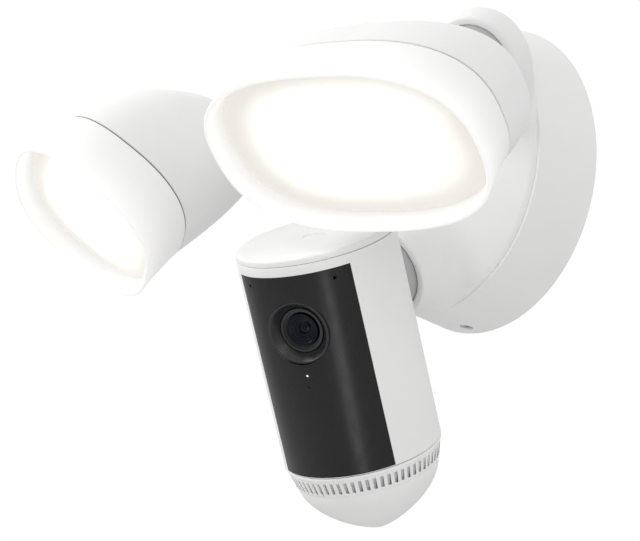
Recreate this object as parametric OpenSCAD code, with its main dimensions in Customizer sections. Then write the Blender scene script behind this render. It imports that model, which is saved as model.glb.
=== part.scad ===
// Wall-mounted security camera with two floodlights, in millimetres.
// The wall is the plane y = 0, the front is -Y and up is +Z. The origin is the
// centre of the wall bracket's rear face. A ball joint carries each lamp and the
// camera head, and the model stands as they are aimed in use.

/* [Base] */
// Radius of the base at the wall
base_r = 70; // [68:0.5:74]
// Depth of the rim, from the wall to its front edge
rim_depth = 31.5; // [30:0.5:34]
// How much the rim narrows from the wall to its front edge
rim_taper = 5.6; // [3:0.2:7]
// Rise of the domed front above the rim
dome_rise = 13; // [10:0.5:15]
// Wall thickness of the plastic mouldings
wall = 2.4; // [2:0.1:2.8]

/* [Ball joints] */
// Radius of a joint's ball
ball_r = 13; // [12.5:0.1:13]
// Radius of the stem that leaves the ball
stem_r = 5.5; // [5:0.1:5.5]

/* [Lamps] */
// Half the width of a lamp's face
lamp_a = 60; // [56:0.5:62]
// Half the height of a lamp's face
lamp_b = 38.8; // [37:0.2:40]
// Length of a lamp behind its face
lamp_len = 86; // [84:0.5:90]
// How far the lamp's rear end sweeps down from the middle of its face
lamp_sweep = 28.6; // [26:0.2:30]
// Distance of the lamp's seam behind its face
lamp_seam = 26; // [25:0.5:27]
// Depth of the diffuser below the lip of the face
lip_depth = 9; // [7:0.5:10]

/* [Camera head] */
// Radius of the camera head
cam_r = 33.4; // [32.5:0.1:34]
// Height of the dark window
window_h = 86; // [82:0.5:88]
// Half of the angle that the dark window wraps around the head
window_half = 47.3; // [42:0.1:50]
// Height of the slotted ring below the head
vent_h = 9; // [8:0.5:10]
// Height of the pale dome below the slotted ring
dome_h = 27; // [24:0.5:29]
// Number of slots in the ring
slots = 66; // [48:2:72]

/* [Aim] */
// Turn of the right lamp away from straight ahead
right_yaw = 13.6; // [12:0.2:15]
// Downward pitch of the right lamp's face
right_pitch = 52.8; // [51:0.2:54]
// Roll of the right lamp about its face's centre
right_roll = -5.5; // [-7:0.5:-4]
// Turn of the left lamp away from straight ahead
left_yaw = 20.4; // [19:0.2:22]
// Downward pitch of the left lamp's face
left_pitch = 52.9; // [51:0.2:54]
// Roll of the left lamp about its face's centre
left_roll = -12; // [-14:0.5:-10]
// Turn of the camera head away from straight ahead
cam_yaw = 26.5; // [24:0.5:28]
// Downward pitch of the camera head
cam_pitch = 29; // [27:0.5:31]
// Roll of the camera head about its stem
cam_roll = -3.5; // [-5:0.5:0]

/* [Hidden] */
$fn = 64;
eps = 0.01;
RIGHT = 1;
LEFT = -1;

// base
front_r = base_r - rim_taper;
cover_back = 29.5;
cover_r = base_r - rim_taper * cover_back / rim_depth;
dome_r = (pow(front_r - 3, 2) + pow(dome_rise, 2)) / (2 * dome_rise);
dome_top = rim_depth + dome_rise;
plate_back = 4;
plate_front = 7;
box_pitch = 88.9;
box_slot = 14;
box_screw_r = 2.3;
gland_r = 11;
board_y = plate_front + 6;
edge_r = 3;
bolt_x = 24;
bolt_r = 2.4;
ground_at = [10, -7];
cover_screw_places = [[-55, -2], [55, -2], [-38, -40], [38, -40]];
screw_r = 1.9;
screw_bite = 16;

// ball joints: cup in the arm, ball in the cup
cup_in = ball_r + 0.08;
cup_out = 16.8;
socket_r = cup_out + 0.08;
arm_end_r = 19.6;
mouth_z = 7;
cup_aperture_r = 14.2;
sleeve_back = 20.3;
sleeve_front = 33;
sleeve_r = 8;
stem_end = 35.4;

lamp_ball = [65.5, -66.7, 31.8];
cam_ball = [0, -58.6, -52];
lamp_socket_dir = [0.29, -0.77, -0.57];
cam_socket_dir = [0, -0.87, -0.49];
lamp_arm_root = [33, -26, 33];
cam_arm_root = [0, -26, -34];
lamp_arm_root_r = 25;
cam_arm_root_r = 26;

// lamps: the face's centre from the ball, in the lamp's own axes
face_y = lamp_sweep + 6.6;
face_z = lamp_len + 20.1;
stem_tilt = atan2(6.6, 20.1);
face_n = 2.55;
seam_scale = 0.94;
seam_gap = 0.3;
skin = 2;
ring_points = 48;
led_floor = 23;

// camera head, in its own axes: ball at the origin, front -Y, up +Z
axis_y = -56;
window_top = 29;
window_bottom = window_top - window_h;
cap_bottom = window_top + 3.8;
cap_top = window_top + 6.8;
head_bottom = window_bottom - 0.2;
vent_top = head_bottom - 0.4;
vent_bottom = vent_top - vent_h;
lens_z = 5;
lens_ring_r = 13.2;
lens_inner_r = 9.2;
lens_glass_r = 6.7;
led_z = -12.9;
light_sensor_z = -17.5;
mic_z = 25;
mic_angle = 34.5;
button_len = 9;
button_w = 4.6;
button_travel = 0.8;

// ---- helpers

// Puts children with their +Z along v, from the point p.
module aim(p, v) {
    translate(p)
        rotate([0, acos(v[2] / norm(v)), atan2(v[1], v[0])])
            children();
}

// A cone between two points.
module limb(p, q, r1, r2) {
    aim(p, q - p)
        cylinder(h = norm(q - p), r1 = r1, r2 = r2);
}

// Turns a profile, drawn as radius and depth, about the base's axis.
module turn_from_wall() {
    rotate([90, 0, 0])
        rotate_extrude($fn = 128)
            children();
}

function mirror_x(p, side) = [side * p[0], p[1], p[2]];
function signed_power(v, e) = sign(v) * pow(abs(v), e);

// A ring of points on a superellipse in a plane of constant z.
function ring(a, b, n, y, z) = [
    for (i = [0 : ring_points - 1])
        let (t = 360 * (i + 0.5) / ring_points)
            [a * signed_power(cos(t), 2 / n), y + b * signed_power(sin(t), 2 / n), z]
];

function strip(from, to, k) = [
    for (i = [0 : k - 1])
        each [
            [from + i, to + i, to + (i + 1) % k],
            [from + i, to + (i + 1) % k, from + (i + 1) % k]
        ]
];

// A closed wall whose section is a loop of rings.
module wall_loft(rings) {
    k = len(rings[0]);
    m = len(rings);
    polyhedron(
        points = [for (r = rings) each r],
        faces = [for (j = [0 : m - 1]) each strip(j * k, ((j + 1) % m) * k, k)],
        convexity = 6
    );
}

// A solid through a row of rings, closed at both ends.
module solid_loft(rings) {
    k = len(rings[0]);
    m = len(rings);
    sides = [for (j = [0 : m - 2]) each strip(j * k, (j + 1) * k, k)];
    ends = [[for (i = [0 : k - 1]) i], [for (i = [k - 1 : -1 : 0]) (m - 1) * k + i]];
    polyhedron(points = [for (r = rings) each r], faces = concat(sides, ends), convexity = 4);
}

// ---- base

module wall_bracket() {
    color("silver")
        difference() {
            union() {
                translate([-54, -2, -12]) cube([108, 2, 24]);
                for (side = [LEFT, RIGHT])
                    translate([side * bolt_x, -2 + eps, 0]) rotate([90, 0, 0]) cylinder(h = plate_back - 2 + eps, r = 6);
            }
            for (side = [LEFT, RIGHT]) {
                translate([side * box_pitch / 2, 0, 0]) box_slot_cut();
                translate([side * bolt_x, 1, 0]) rotate([90, 0, 0]) cylinder(h = plate_back + 2, r = bolt_r + 0.05);
            }
            translate([ground_at[0], 1, ground_at[1]]) rotate([90, 0, 0]) cylinder(h = 4, r = 2.1);
        }
}

module box_slot_cut() {
    reach = box_slot / 2 - box_screw_r;
    for (end = [-reach, reach]) translate([end, 1, 0]) rotate([90, 0, 0]) cylinder(h = 4, r = box_screw_r);
    translate([-reach, -3, -box_screw_r]) cube([2 * reach, 4, 2 * box_screw_r]);
}

module wall_gasket() {
    color("dimgray")
        turn_from_wall()
            translate([61, 0]) square([4.5, plate_back]);
}

module base_plate() {
    color("whitesmoke")
        difference() {
            translate([0, -plate_back, 0]) rotate([90, 0, 0]) cylinder(h = plate_front - plate_back, r = 66, $fn = 128);
            translate([0, 0, -28]) rotate([90, 0, 0]) cylinder(h = 12, r = gland_r);
            translate([ground_at[0], 0, ground_at[1]]) rotate([90, 0, 0]) cylinder(h = 12, r = 4.5);
            for (side = [LEFT, RIGHT]) {
                translate([side * bolt_x, 0, 0]) rotate([90, 0, 0]) cylinder(h = 12, r = bolt_r + 0.2);
                translate([side * 34, 0, 42]) rotate([90, 0, 0]) cylinder(h = 12, r = 1.65);
            }
            for (p = cover_screw_places)
                translate([p[0], 0, p[1]]) rotate([90, 0, 0]) {
                    cylinder(h = 12, r = screw_r + 0.15);
                    cylinder(h = plate_back + 2, r = 3.6);
                }
        }
}

module cable_gland() {
    color("dimgray")
        translate([0, -plate_back + 1, -28])
            rotate([90, 0, 0])
                difference() {
                    union() {
                        cylinder(h = 5, r = gland_r - 0.05);
                        cylinder(h = 1, r = gland_r + 2);
                        translate([0, 0, 4]) cylinder(h = 1.5, r = gland_r + 1.6);
                    }
                    translate([0, 0, -1]) cylinder(h = 9, r = 5);
                    translate([0, 0, 1]) cylinder(h = 3, r = 9.6);
                }
}

module base_rim() {
    inner = base_r - wall;
    color("white")
        difference() {
            turn_from_wall()
                difference() {
                    polygon([[inner, 0], [base_r - 0.8, 0], [base_r, 0.8], [cover_r, cover_back],
                        [cover_r - wall, cover_back], [inner, 1]]);
                }
            security_place() translate([0, 0, -4]) cylinder(h = 12, r = 1.6);
            security_place() translate([0, 0, 1.2]) cylinder(h = 12, r = 3);
        }
}

// The screw under the rim, with z = 0 on the rim's inner face and +Z outwards.
module security_place() {
    translate([0, -9, -(base_r - 9 * rim_taper / rim_depth - wall)])
        rotate([180, 0, 0])
            children();
}

module security_screw() {
    color("gray")
        security_place()
            difference() {
                union() {
                    translate([0, 0, -8]) cylinder(h = 9.4, r = 1.5);
                    translate([0, 0, 1.2]) cylinder(h = 1, r = 2.8);
                }
                translate([0, 0, 1.6]) cylinder(h = 2, r = 1.2, $fn = 6);
            }
}

// Outline of the domed front, drawn as radius and depth, grown inwards by an inset.
function dome_line(inset) =
    let (r = front_r - edge_r, top = dome_top - inset, big = dome_r - inset, spread = asin(r / dome_r))
    [for (a = [spread : -spread / 9 : -0.1]) [big * sin(a), top - big + big * cos(a)]];
function edge_line() = [for (a = [0 : 15 : 75]) [front_r - edge_r + edge_r * cos(a), rim_depth - edge_r + edge_r * sin(a)]];

module dome_solid() {
    turn_from_wall()
        polygon(concat([[0, cover_back], [cover_r, cover_back]], edge_line(), dome_line(0)));
}

module each_joint() {
    for (side = [LEFT, RIGHT]) translate(mirror_x(lamp_ball, side)) children();
    translate(cam_ball) children();
}

module base_cover() {
    color("white") {
        difference() {
            union() {
                dome_solid();
                for (side = [LEFT, RIGHT]) arm(mirror_x(lamp_arm_root, side), mirror_x(lamp_ball, side), lamp_arm_root_r);
                arm(cam_arm_root, cam_ball, cam_arm_root_r);
            }
            cover_cavity();
            each_joint() sphere(r = socket_r);
            for (side = [LEFT, RIGHT]) socket_mouth(mirror_x(lamp_ball, side), mirror_x(lamp_socket_dir, side));
            socket_mouth(cam_ball, cam_socket_dir);
        }
        cover_posts();
    }
}

// A tapering arm that ends in a round housing about the ball's centre.
module arm(root, ball, root_r) {
    reach = norm(ball - root);
    aim(root, ball - root) {
        cylinder(h = reach - 5, r1 = root_r, r2 = arm_end_r - 0.9);
        translate([0, 0, reach]) sphere(r = arm_end_r);
    }
}

// Posts that the cover's screws bite into.
module cover_posts() {
    for (p = cover_screw_places)
        translate([p[0], -plate_front, p[1]])
            rotate([90, 0, 0])
                difference() {
                    cylinder(h = rim_depth - plate_front + 1, r = 4.4);
                    translate([0, 0, -1]) cylinder(h = screw_bite + 1, r = screw_r + 0.03);
                }
}

// The hollow behind the cover and in its three arms.
module cover_cavity() {
    turn_from_wall()
        polygon(concat([[0, cover_back - 1], [front_r - edge_r - wall, cover_back - 1],
            [front_r - edge_r - wall, rim_depth - wall]],
            [for (p = dome_line(wall)) if (p[0] < front_r - edge_r - wall) p]));
    for (side = [LEFT, RIGHT]) arm_hollow(mirror_x(lamp_arm_root, side), mirror_x(lamp_ball, side), lamp_arm_root_r);
    arm_hollow(cam_arm_root, cam_ball, cam_arm_root_r);
    translate([-base_r, -cover_back, -base_r]) cube([2 * base_r, cover_back + 1, 2 * base_r]);
}

module arm_hollow(root, ball, root_r) {
    reach = norm(ball - root) - arm_end_r - 0.6;
    aim(root, ball - root)
        cylinder(h = reach, r1 = root_r - wall, r2 = root_r - wall - 4);
}

// Cuts an arm's round end flat, which leaves the mouth of its socket.
module socket_mouth(ball, mouth) {
    aim(ball, mouth) translate([0, 0, mouth_z]) cylinder(h = arm_end_r, r = arm_end_r + 4);
}

module cover_screws() {
    color("silver")
        for (p = cover_screw_places)
            translate([p[0], -plate_front, p[1]])
                rotate([-90, 0, 0]) {
                    translate([0, 0, -screw_bite]) cylinder(h = screw_bite + 1, r = screw_r);
                    translate([0, 0, 1]) cylinder(h = 1.9, r = 3.4);
                }
}

module ground_screw() {
    color("green")
        translate([ground_at[0], 0, ground_at[1]])
            rotate([90, 0, 0])
                difference() {
                    union() {
                        translate([0, 0, 0.2]) cylinder(h = 4, r = 2.05);
                        translate([0, 0, 2]) cylinder(h = 2.6, r = 4);
                    }
                    translate([-3, -0.5, 3.7]) cube([6, 1, 2]);
                }
}

module driver_board() {
    color("darkgreen")
        difference() {
            translate([-40, -board_y - 1.6, -22]) cube([80, 1.6, 70]);
            for (side = [LEFT, RIGHT])
                translate([side * 34, -board_y + 1, 42]) rotate([90, 0, 0]) cylinder(h = 4, r = 1.65);
        }
}

module board_screws() {
    color("silver")
        for (side = [LEFT, RIGHT])
            translate([side * 34, 0, 42]) {
                translate([0, -plate_back, 0]) rotate([90, 0, 0]) cylinder(h = board_y + 1.6 - plate_back, r = 1.6);
                translate([0, -board_y - 1.6, 0]) rotate([90, 0, 0]) cylinder(h = 2, r = 3);
            }
}

module terminal_block() {
    color("ivory")
        difference() {
            translate([-15, -board_y - 1.6 - 11, -20]) cube([30, 11, 12]);
            for (x = [-10, 0, 10]) {
                translate([x, -board_y - 8, -21]) cylinder(h = 5, r = 2);
                translate([x, -board_y - 9, -13]) rotate([90, 0, 0]) cylinder(h = 6, r = 2.4);
            }
        }
}

module transformer() {
    color("goldenrod")
        translate([-14, -board_y - 1.6, 18]) {
            translate([-13, -20, -11]) cube([26, 20, 22]);
            translate([-16, -16, -8]) cube([3, 12, 16]);
            translate([13, -16, -8]) cube([3, 12, 16]);
        }
}

module capacitors() {
    color("navy")
        for (p = [[20, 34, 6.5, 20], [20, 18, 6.5, 20], [34, 4, 4, 13]])
            translate([p[0], -board_y - 1.6, p[1]])
                rotate([90, 0, 0]) cylinder(h = p[3], r = p[2]);
}

// Hexagon bolts that hold the base on the bracket.
module fixing_bolts() {
    color("silver")
        for (side = [LEFT, RIGHT])
            translate([side * bolt_x, 0, 0])
                rotate([90, 0, 0]) {
                    translate([0, 0, 0.3]) cylinder(h = 9, r = bolt_r);
                    translate([0, 0, plate_front]) cylinder(h = 4, r = 4.6, $fn = 6);
                }
}

module siren() {
    color("black")
        translate([0, -plate_front, 0])
            rotate([90, 0, 0])
                translate([-20, -46, 0])
                    difference() {
                        cylinder(h = 9, r = 13);
                        translate([0, 0, 6]) cylinder(h = 4, r = 2);
                    }
}

// Three leads from the gland up to the terminals.
lead_routes = [
    [[-3, -9, -28], [-4, -11, -28], [-9, -16, -27], [-10, -20, -26], [-10, -21, -23], [-10, -21, -18]],
    [[0, -9, -31], [0, -11, -31], [0, -17, -29], [0, -20, -26], [0, -21, -23], [0, -21, -18]],
    [[3, -9, -28], [4, -11, -28], [9, -16, -27], [10, -20, -26], [10, -21, -23], [10, -21, -18]]
];
lead_colours = ["black", "white", "green"];
lead_r = 1.2;
lead_sides = 8;

module mains_leads() {
    for (n = [0 : 2])
        color(lead_colours[n])
            solid_loft([for (i = [0 : len(lead_routes[n]) - 1]) lead_ring(lead_routes[n], i)]);
}

// A ring of points square to a route at one of its points.
function lead_ring(route, i) =
    let (
        along = route[min(i + 1, len(route) - 1)] - route[max(i - 1, 0)],
        side = cross(along, [1, 0.2, 0]),
        u = side / norm(side),
        w = cross(along, u) / norm(along)
    )
    [for (a = [0 : 360 / lead_sides : 359]) route[i] + lead_r * (cos(a) * u - sin(a) * w)];

// ---- ball joints

// The cup that grips a ball, opening along +Z, with a way in for leads behind.
module cup() {
    color("gray")
        difference() {
            sphere(r = cup_out);
            sphere(r = cup_in);
            cylinder(h = cup_out + 1, r1 = 0.1, r2 = (cup_out + 1) * cup_aperture_r / 9);
            translate([0, 0, -cup_out - 1]) cylinder(h = 8, r = 7);
        }
}

// The ball with its hollow stem along +Z, ending in a flange inside the shell.
module ball() {
    color("white")
        difference() {
            union() {
                sphere(r = ball_r);
                cylinder(h = stem_end, r = stem_r);
                translate([0, 0, sleeve_front + 0.3]) cylinder(h = stem_end - sleeve_front - 0.3, r = 8.6);
            }
            translate([0, 0, -ball_r - 1]) cylinder(h = stem_end + ball_r + 2, r = 3);
        }
}

// The sleeve that turns on the stem, fixed in the shell.
module neck(flange_back) {
    color("white")
        difference() {
            union() {
                translate([0, 0, sleeve_back]) cylinder(h = sleeve_front - sleeve_back, r = sleeve_r);
                translate([0, 0, flange_back]) cylinder(h = sleeve_front - flange_back, r = sleeve_r + 2.4);
            }
            translate([0, 0, sleeve_back - 1]) cylinder(h = sleeve_front - sleeve_back + 2, r = stem_r + 0.06);
        }
}

// ---- lamps

// Puts children in a lamp's axes: ball at the origin, face's normal +Z, width X.
module lamp_place(side) {
    yaw = side == RIGHT ? right_yaw : -left_yaw;
    pitch = side == RIGHT ? right_pitch : left_pitch;
    roll = side == RIGHT ? right_roll : -left_roll;
    translate(mirror_x(lamp_ball, side))
        rotate([0, 0, yaw])
            rotate([pitch, 0, 0])
                rotate([0, -roll, 0])
                    rotate([90, 0, 0])
                        children();
}

module on_face() {
    translate([0, face_y, face_z]) children();
}

module on_stem() {
    rotate([-stem_tilt, 0, 0]) children();
}

// Scale of the lamp's section at a depth behind the face.
function swell(z) = z <= lamp_seam
    ? 1 - (1 - seam_scale) * z / lamp_seam
    : seam_scale * sqrt(1 - pow((z - lamp_seam) / (lamp_len - lamp_seam), 2.2));
function sweep_y(z) = -lamp_sweep * pow(z / lamp_len, 2);

// The lamp's section at a depth behind the face, drawn inwards by an inset.
function section(z, inset) =
    ring(lamp_a * swell(z) - inset, lamp_b * swell(z) - inset, face_n, sweep_y(z), -z);
function round_ring(r, z) = ring(r, r, 2, sweep_y(z), -z);

module bezel() {
    seat = lamp_seam - seam_gap;
    color("white")
        on_face()
            wall_loft([
                section(0.8, 0), section(0.1, 0.5), section(0, 1), section(0.3, skin - 0.2), section(1, skin),
                section(lip_depth + 2.2, skin), section(lip_depth + 2.3, skin + 1.2),
                section(seat, skin + 1.2), section(seat, 0), section(lamp_seam / 2, 0)
            ]);
}

module shell() {
    depth = lamp_len - lamp_seam;
    outer = [for (t = [0, 0.14, 0.3, 0.46, 0.6, 0.72, 0.82, 0.9]) section(lamp_seam + seam_gap + t * depth, 0)];
    inner = [for (t = [0.86, 0.74, 0.58, 0.4, 0.2, 0]) section(lamp_seam + seam_gap + t * depth, wall)];
    neck_rings = [round_ring(12, lamp_len - 1.2), round_ring(10.4, lamp_len), round_ring(8.9, lamp_len),
        round_ring(10.2, lamp_len - 3)];
    color("white")
        on_face()
            wall_loft(concat(outer, neck_rings, inner));
}

module seam() {
    color("dimgray")
        on_face()
            wall_loft([
                section(lamp_seam - seam_gap + 0.02, 0.5), section(lamp_seam - seam_gap + 0.02, 2.2),
                section(lamp_seam + seam_gap - 0.02, 2.2), section(lamp_seam + seam_gap - 0.02, 0.5)
            ]);
}

module diffuser() {
    back = lip_depth + 2.1;
    color("ivory")
        on_face()
            solid_loft([
                section(back, skin + 0.15), section(lip_depth + 0.6, skin + 0.15), section(lip_depth, skin + 1.6),
                section(lip_depth - 0.6, 10), section(lip_depth - 1, 20), section(lip_depth - 1.2, 32)
            ]);
}

module reflector() {
    front = lip_depth + 2.4;
    color("white")
        on_face()
            wall_loft([
                section(front, skin + 1.5), section(front, skin + 3), section(led_floor, 14),
                section(led_floor, 12.4), section(lamp_seam - 5, 11), section(front + 4, skin + 3.4)
            ]);
}

// Rounded plate across the lamp, with holes for its screws.
module plate(half_w, half_h, corner, back, thickness) {
    on_face()
        translate([0, sweep_y(board_back), -back])
            linear_extrude(thickness)
                difference() {
                    union() {
                        square([2 * half_w, 2 * (half_h - corner)], center = true);
                        square([2 * (half_w - corner), 2 * half_h], center = true);
                        for (x = [-1, 1])
                            for (y = [-1, 1])
                                translate([x * (half_w - corner), y * (half_h - corner)]) circle(r = corner);
                    }
                    for (x = [-1, 1])
                        for (y = [-1, 1])
                            translate([x * lamp_screw_x, y * lamp_screw_y]) circle(r = 1.65);
                }
}

lamp_screw_x = 31;
lamp_screw_y = 13;
board_back = led_floor + 1.7;
sink_back = board_back + 3.1;

module led_board() {
    color("white") plate(41, 21, 8, board_back, 1.6);
}

module led_chips() {
    color("gold")
        on_face()
            translate([0, sweep_y(board_back), -led_floor])
                for (x = [-27 : 9 : 27])
                    for (y = [-9, 9])
                        translate([x - 1.75, y - 1.75, 0]) cube([3.5, 3.5, 0.8]);
}

module heat_sink() {
    color("lightgray") {
        plate(42, 22, 8, sink_back, 3);
        on_face()
            translate([0, sweep_y(board_back), -sink_back])
                for (x = [-28 : 8 : 28])
                    translate([x - 0.9, -21, -22]) cube([1.8, 36, 22 + eps]);
    }
}

module lamp_screws() {
    color("silver")
        on_face()
            translate([0, sweep_y(board_back), 0])
                for (x = [-1, 1])
                    for (y = [-1, 1])
                        translate([x * lamp_screw_x, y * lamp_screw_y, -led_floor]) {
                            cylinder(h = 1.4, r = 2.6);
                            translate([0, 0, -6]) cylinder(h = 6 + eps, r = 1.5);
                        }
}

// ---- camera head

// Puts children in the camera head's axes.
module cam_place() {
    translate(cam_ball)
        rotate([0, 0, cam_yaw])
            rotate([cam_pitch, 0, 0])
                rotate([0, cam_roll, 0])
                    children();
}

module on_axis() {
    translate([0, axis_y, 0]) children();
}

module cam_stem() {
    rotate([90, 0, 0]) children();
}

// A wedge about the head's axis, from its middle to well outside, facing the front.
module front_wedge(half, z0, z1) {
    reach = 2 * cam_r;
    on_axis()
        translate([0, 0, z0])
            linear_extrude(z1 - z0)
                polygon([[0, 0], [-reach * tan(half), -reach], [reach * tan(half), -reach]]);
}

module cam_shell() {
    color("white")
        difference() {
            on_axis()
                translate([0, 0, head_bottom])
                    difference() {
                        cylinder(h = cap_bottom - head_bottom, r = cam_r, $fn = 128);
                        translate([0, 0, -1]) cylinder(h = cap_bottom - head_bottom + 2, r = cam_r - wall, $fn = 128);
                    }
            front_wedge(window_half, window_bottom, window_top);
            cam_stem() translate([0, 0, 18]) cylinder(h = 12, r = sleeve_r + 0.2);
        }
}

module button_shape(grow) {
    reach = (button_len - button_w) / 2;
    for (x = [-reach, reach]) translate([x, 0]) circle(r = button_w / 2 + grow);
    square([2 * reach, button_w + 2 * grow], center = true);
}

module cam_cap() {
    color("white")
        on_axis()
            difference() {
                union() {
                    rotate_extrude($fn = 128)
                        polygon([[0, cap_bottom + 0.35], [cam_r - 0.5, cap_bottom + 0.35], [cam_r - 0.5, cap_top - 1.3],
                            [cam_r - 1.8, cap_top], [0, cap_top]]);
                    translate([0, 0, cap_bottom - 5]) difference() {
                        cylinder(h = 5.5, r = cam_r - wall - 0.05, $fn = 128);
                        translate([0, 0, -1]) cylinder(h = 7.5, r = cam_r - wall - 2, $fn = 128);
                    }
                }
                translate([0, 0, cap_bottom - 1]) linear_extrude(10) button_shape(0.15);
            }
}

module setup_button() {
    color("whitesmoke")
        on_axis() {
            translate([0, 0, cap_bottom - 1]) linear_extrude(cap_top - cap_bottom + 0.8) button_shape(0);
            translate([0, 0, cap_bottom - 1.6]) linear_extrude(1) button_shape(1.4);
        }
}

module cam_window() {
    color("black")
        difference() {
            intersection() {
                on_axis()
                    translate([0, 0, window_bottom + 0.1])
                        difference() {
                            cylinder(h = window_h - 0.2, r = cam_r - 0.05, $fn = 128);
                            translate([0, 0, -1]) cylinder(h = window_h + 2, r = cam_r - wall + 0.2, $fn = 128);
                        }
                front_wedge(window_half - 0.15, window_bottom, window_top);
            }
            translate([0, axis_y, lens_z]) rotate([90, 0, 0]) cylinder(h = 60, r = lens_ring_r);
            for (z = [led_z, light_sensor_z])
                translate([0, axis_y, z]) rotate([90, 0, 0]) cylinder(h = 60, r = 0.9);
            for (side = [-1, 1]) mic_cut(side);
        }
}

module mic_cut(side) {
    on_axis()
        rotate([0, 0, side * mic_angle])
            translate([0, 0, mic_z]) rotate([90, 0, 0]) cylinder(h = 60, r = 0.7, $fn = 24);
}

// Turned pieces about the lens's axis, with z = 0 in the head's axis and the front at cam_r.
module on_lens() {
    translate([0, axis_y, lens_z]) rotate([90, 0, 0]) children();
}

module lens_bezel() {
    front = cam_r - 0.9;
    color("#202124")
        on_lens()
            rotate_extrude()
                polygon([[lens_inner_r + 0.1, front - 8], [lens_inner_r + 2.4, front - 8], [lens_ring_r - 0.05, front - 3],
                    [lens_ring_r - 0.05, front], [lens_ring_r - 0.9, front], [lens_inner_r + 0.1, front - 4.2]]);
}

module lens_barrel() {
    front = cam_r - 4.4;
    color("black")
        on_lens()
            rotate_extrude()
                polygon([[0, front - 26], [10.5, front - 26], [10.5, front - 8.5], [lens_inner_r, front - 8.5],
                    [lens_inner_r, front], [lens_inner_r - 1, front], [lens_glass_r + 0.05, front - 2],
                    [lens_glass_r + 0.05, front - 5], [0, front - 5]]);
}

module lens_glass() {
    front = cam_r - 4.6;
    bulge = 11;
    color("midnightblue")
        on_lens()
            intersection() {
                translate([0, 0, front - 4.7]) cylinder(h = 8, r = lens_glass_r);
                translate([0, 0, front - bulge]) sphere(r = bulge);
            }
}

module image_board() {
    color("darkgreen")
        translate([-16, axis_y + 0.4, lens_z - 14]) cube([32, 1.6, 28]);
}

module main_board() {
    color("darkgreen")
        difference() {
            translate([-22, axis_y + 9, -43]) cube([44, 1.6, 69]);
            translate([0, axis_y + 14, 0]) rotate([90, 0, 0]) cylinder(h = 8, r = 9);
        }
}

module status_lights() {
    color("white")
        for (z = [led_z, light_sensor_z])
            translate([0, axis_y - 26, z]) rotate([90, 0, 0]) cylinder(h = cam_r - 26 - 0.2, r = 0.82);
}

module infrared_leds() {
    color("dimgray")
        for (x = [-9, 9])
            for (z = [-31, 21.5])
                translate([x, axis_y - 20, z]) rotate([90, 0, 0]) {
                    cylinder(h = 6.5, r = 2.5);
                    translate([0, 0, 6.5]) sphere(r = 2.5);
                }
}

module speaker() {
    color("dimgray")
        translate([0, axis_y, vent_top + 4]) {
            difference() {
                cylinder(h = 3, r = 24);
                translate([0, 0, -1]) cylinder(h = 3, r = 21);
            }
            translate([0, 0, 3 - eps]) cylinder(h = 6, r = 12);
        }
}

module cam_seam() {
    color("dimgray")
        on_axis()
            translate([0, 0, vent_top + 0.02])
                difference() {
                    cylinder(h = head_bottom - vent_top - 0.04, r = cam_r - 0.7, $fn = 128);
                    translate([0, 0, -1]) cylinder(h = 3, r = cam_r - 3.4, $fn = 128);
                }
}

module vent_ring() {
    slot_h = vent_h - 4;
    color("white")
        on_axis()
            difference() {
                rotate_extrude($fn = 128)
                    polygon([[cam_r - 3.6, vent_bottom], [cam_r - 2.6, vent_bottom], [cam_r - 0.6, vent_top - 1.6],
                        [cam_r - 0.1, vent_top - 1], [cam_r - 0.1, vent_top], [cam_r - 3.6, vent_top]]);
                for (i = [0 : slots - 1])
                    rotate([0, 0, 360 * (i + 0.5) / slots])
                        translate([-0.65, -cam_r - 1, vent_bottom + 1.4]) cube([1.3, 8, slot_h]);
            }
}

// Profile of the motion dome, as radius and height: a bowl that closes in a rounded tip.
function dome_point(a, r0, h) = [r0 * pow(cos(a), 1.3), -h * pow(sin(a), 1.12)];

module motion_dome() {
    r0 = cam_r - 3.1;
    steps = [0 : 6 : 84];
    outer = [for (a = steps) dome_point(a, r0, dome_h)];
    inner = [for (a = [84 : -6 : 0]) dome_point(a, r0 - 1.8, dome_h - 1.8)];
    color("white")
        on_axis()
            translate([0, 0, vent_bottom - 0.1])
                rotate_extrude($fn = 96) polygon(concat(outer, [[0, -dome_h], [0, -dome_h + 1.8]], inner));
}

module motion_board() {
    color("darkgreen")
        on_axis() {
            translate([0, 0, vent_bottom + 1]) cylinder(h = 1.6, r = 26);
            for (a = [0, 120, 240])
                rotate([0, 0, a]) translate([0, -14, vent_bottom - 4]) cylinder(h = 5 + eps, r = 4.6);
        }
}

// ---- nodes

wall_bracket();
wall_gasket();
base_plate();
cable_gland();
base_rim();
base_cover();
cover_screws();
security_screw();
ground_screw();
terminal_block();
driver_board();
transformer();
capacitors();
fixing_bolts();
siren();
board_screws();
mains_leads();
translate(lamp_ball) aim([0, 0, 0], lamp_socket_dir) cup();  // cup_r
lamp_place(RIGHT) on_stem() ball();  // ball_r_lamp
lamp_place(RIGHT) shell();  // shell_r
lamp_place(RIGHT) bezel();  // bezel_r
lamp_place(RIGHT) seam();  // seam_r
lamp_place(RIGHT) on_stem() neck(sleeve_front - 3);  // neck_r
lamp_place(RIGHT) heat_sink();  // heat_sink_r
lamp_place(RIGHT) led_board();  // led_board_r
lamp_place(RIGHT) led_chips();  // led_chips_r
lamp_place(RIGHT) reflector();  // reflector_r
lamp_place(RIGHT) diffuser();  // diffuser_r
lamp_place(RIGHT) lamp_screws();  // screws_r
aim(mirror_x(lamp_ball, LEFT), mirror_x(lamp_socket_dir, LEFT)) cup();  // cup_l
lamp_place(LEFT) on_stem() ball();  // ball_l_lamp
lamp_place(LEFT) shell();  // shell_l
lamp_place(LEFT) bezel();  // bezel_l
lamp_place(LEFT) seam();  // seam_l
lamp_place(LEFT) on_stem() neck(sleeve_front - 3);  // neck_l
lamp_place(LEFT) heat_sink();  // heat_sink_l
lamp_place(LEFT) led_board();  // led_board_l
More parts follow.
